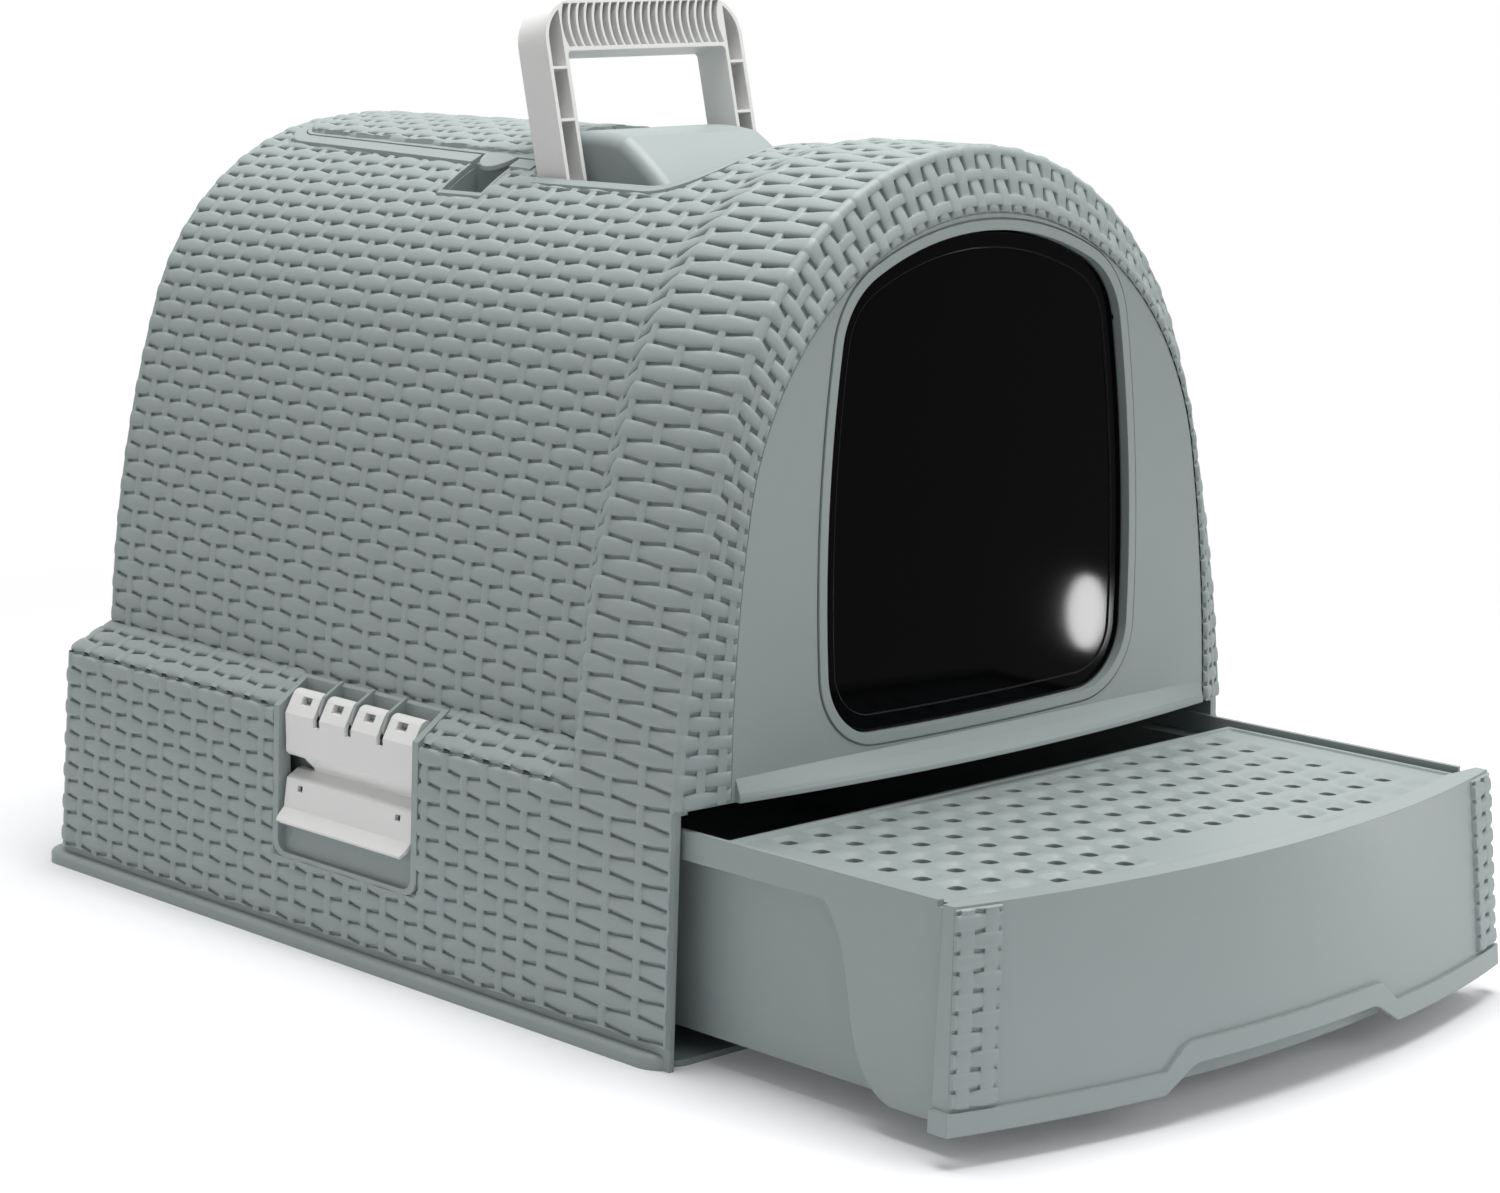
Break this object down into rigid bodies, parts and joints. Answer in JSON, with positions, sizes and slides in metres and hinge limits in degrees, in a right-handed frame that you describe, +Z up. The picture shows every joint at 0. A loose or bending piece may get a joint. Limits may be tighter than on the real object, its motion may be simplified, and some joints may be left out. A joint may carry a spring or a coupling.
{
  "type": "hooded litter box",
  "caption": "Hooded cat litter box with woven-look sides, swing flap, pull-out drawer with perforated step, folding handle, lift-off filter lid and side clips.",
  "frame": {"origin": "on the floor under the middle of the hood", "axes": "+Z up, the doorway and drawer face -Y, +X to the right seen from the front"},
  "size_m": [0.385, 0.7157, 0.4676],
  "materials": {
    "shell_plastic": "satin moulded grey",
    "pale_plastic": "satin moulded off-white",
    "smoked_plastic": "glossy dark tint",
    "filter_felt": "charcoal felt",
    "pin_plastic": "satin"
  },
  "bodies": {
    "shell": {"base_pan": "shell_plastic", "hood_shell": "shell_plastic", "front_panel": "shell_plastic", "filter_tray": "shell_plastic", "filter_pad": "filter_felt", "left_clip_rod": "pin_plastic", "right_clip_rod": "pin_plastic"},
    "drawer": {"drawer_tray": "shell_plastic", "drawer_fascia": "shell_plastic"},
    "grid": {"step_grid": "shell_plastic"},
    "flap": {"flap": "smoked_plastic"},
    "handle": {"carry_handle": "pale_plastic"},
    "lid": {"top_lid": "shell_plastic"},
    "left_clip": {"left_clip": "pale_plastic"},
    "right_clip": {"right_clip": "pale_plastic"}
  },
  "joints": [
    {"name": "drawer_slide", "type": "slide", "parent": "shell", "child": "drawer", "axis": [0, -1, 0], "range_m": [-0.16, 0.18]},
    {"name": "grid_lift", "type": "slide", "parent": "drawer", "child": "grid", "axis": [0, 0, 1], "range_m": [0, 0.01]},
    {"name": "flap_swing", "type": "hinge", "parent": "shell", "child": "flap", "pos_m": [0, -0.2625, 0.318], "axis": [1, 0, 0], "range_deg": [-85, 85]},
    {"name": "handle_fold", "type": "hinge", "parent": "shell", "child": "handle", "pos_m": [0, -0.0365, 0.3715], "axis": [1, 0, 0], "range_deg": [0, 102]},
    {"name": "lid_lift", "type": "slide", "parent": "shell", "child": "lid", "axis": [0, 0, 1], "range_m": [0, 0.035]},
    {"name": "left_clip_swing", "type": "hinge", "parent": "shell", "child": "left_clip", "pos_m": [-0.1735, -0.015, 0.123], "axis": [0, 1, 0], "range_deg": [0, 70]},
    {"name": "right_clip_swing", "type": "hinge", "parent": "shell", "child": "right_clip", "pos_m": [0.1735, -0.015, 0.123], "axis": [0, -1, 0], "range_deg": [0, 70]}
  ]
}
